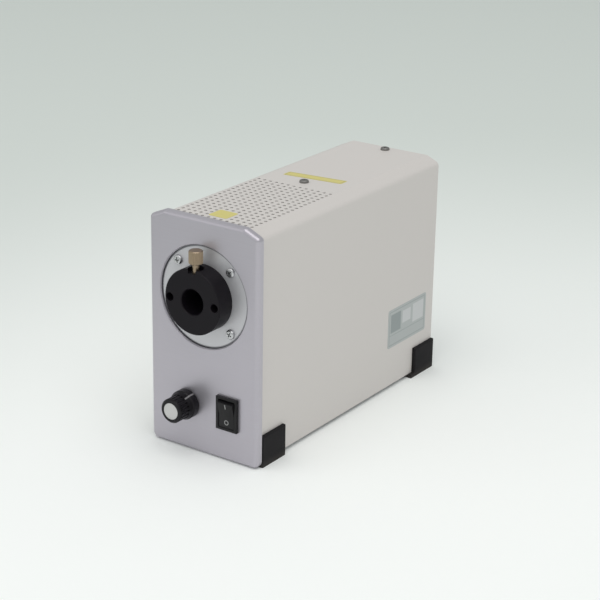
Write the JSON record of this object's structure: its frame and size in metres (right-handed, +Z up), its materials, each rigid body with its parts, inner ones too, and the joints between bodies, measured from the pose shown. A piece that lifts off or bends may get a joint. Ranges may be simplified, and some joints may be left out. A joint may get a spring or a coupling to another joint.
{
  "type": "fiber optic illuminator",
  "caption": "Narrow upright light source: silver front panel with a round light guide adapter and clamp screw, brightness knob and rocker switch, bevelled grey cover, rubber corner feet.",
  "frame": {"origin": "middle of the footprint at the underside of the feet", "axes": "+Z up, +Y from the front panel to the rear wall, +X to the right as seen from the front"},
  "size_m": [0.0756, 0.2098, 0.14],
  "materials": {
    "panel_silver": "fine satin, pale silver",
    "case_paint": "fine satin paint, warm light grey",
    "chassis_steel": "zinc plated sheet",
    "bright_plate": "bright machined plate",
    "black_anodised": "black anodised",
    "foot_rubber": "smooth moulded rubber",
    "knob_plastic": "satin black",
    "cap_metal": "spun satin",
    "clamp_brass": "dull brass",
    "pad_plastic": "plain moulded",
    "screw_steel": "plated",
    "guard_wire": "bright plated wire",
    "switch_plastic": "smooth black",
    "inner_plastic": "moulded black",
    "contact_metal": "tinned brass",
    "clear_glass": "clear",
    "reflector_glass": "coated glass",
    "spring_steel": "bright spring steel",
    "lamp_ceramic": "off-white ceramic",
    "board_laminate": "green laminate",
    "standoff_brass": "plain turned",
    "sink_aluminium": "black anodised fins",
    "device_plastic": "moulded black",
    "can_sleeve": "blue sleeve",
    "choke_winding": "enamelled copper",
    "terminal_plastic": "green moulded",
    "core_iron": "varnished laminations",
    "coil_tape": "taped copper winding",
    "bracket_steel": "plain sheet",
    "stator_copper": "enamelled copper",
    "sticker_yellow": "plain yellow film",
    "label_silver": "plain silver film"
  },
  "bodies": {
    "base": {"front_panel": "panel_silver", "cover": "case_paint", "base_chassis": "chassis_steel", "lamp_tray": "chassis_steel", "bulkhead": "chassis_steel", "filter_holder": "chassis_steel", "lamp_bracket": "chassis_steel", "flange_plate": "bright_plate", "light_guide_adapter": "black_anodised", "adapter_lock_ring": "black_anodised", "foot_front_left": "foot_rubber", "foot_front_right": "foot_rubber", "foot_rear_left": "foot_rubber", "foot_rear_right": "foot_rubber", "flange_screws": "screw_steel", "control_washer": "screw_steel", "control_nut": "screw_steel", "small_screws": "screw_steel", "fan_screws": "screw_steel", "inlet_screws": "screw_steel", "cover_screws": "screw_steel", "transformer_bolts": "screw_steel", "fan_guard": "guard_wire", "switch_housing": "switch_plastic", "control_body": "inner_plastic", "fan_frame": "inner_plastic", "inlet_housing": "inner_plastic", "control_lugs": "contact_metal", "switch_terminals": "contact_metal", "inlet_pins": "contact_metal", "heat_filter": "clear_glass", "lamp_bulb": "clear_glass", "lamp_reflector": "reflector_glass", "filter_clips": "spring_steel", "lamp_retainer": "spring_steel", "lamp_base": "lamp_ceramic", "lamp_socket": "lamp_ceramic", "control_board": "board_laminate", "board_standoffs": "standoff_brass", "triac_heatsink": "sink_aluminium", "triac": "device_plastic", "storage_capacitor": "can_sleeve", "line_choke": "choke_winding", "terminal_block": "terminal_plastic", "transformer_core": "core_iron", "transformer_winding": "coil_tape", "transformer_brackets": "bracket_steel", "fan_stator": "stator_copper", "blank_markers": "sticker_yellow", "side_label": "label_silver"},
    "knob": {"control_knob": "knob_plastic", "knob_cap": "cap_metal", "knob_set_screw": "screw_steel", "control_shaft": "screw_steel"},
    "switch_rocker": {"rocker": "switch_plastic"},
    "clamp_pad": {"thumb_screw_tip": "pad_plastic"},
    "clamp_screw": {"thumb_screw": "clamp_brass"},
    "rotor": {"fan_rotor": "inner_plastic"},
    "drawer": {"fuse_drawer": "inner_plastic", "glass_fuse": "clear_glass"}
  },
  "joints": [
    {"name": "brightness_turn", "type": "hinge", "parent": "base", "child": "knob", "pos_m": [-0.0112, -0.08945, 0.0289], "axis": [0, 1, 0], "range_deg": [-185, 115]},
    {"name": "rocker_tilt", "type": "hinge", "parent": "base", "child": "switch_rocker", "pos_m": [0.0173, -0.08685, 0.0297], "axis": [-1, 0, 0], "range_deg": [0, 14]},
    {"name": "clamp_travel", "type": "slide", "parent": "base", "child": "clamp_pad", "axis": [0, 0, -1], "range_m": [-0.0028, 0.0005]},
    {"name": "clamp_turn", "type": "hinge", "parent": "clamp_pad", "child": "clamp_screw", "pos_m": [0, -0.09575, 0.11], "axis": [0, 0, -1], "range_deg": [-1445, 260]},
    {"name": "fan_spin", "type": "hinge", "parent": "base", "child": "rotor", "pos_m": [0, 0.08755, 0.092], "axis": [0, 1, 0], "continuous": true},
    {"name": "fuse_drawer_slide", "type": "slide", "parent": "base", "child": "drawer", "axis": [0, 1, 0], "range_m": [0, 0.013]}
  ],
  "couplings": [
    {"joint": "clamp_turn", "follows": "clamp_travel", "rad_per_m": 8976}
  ]
}
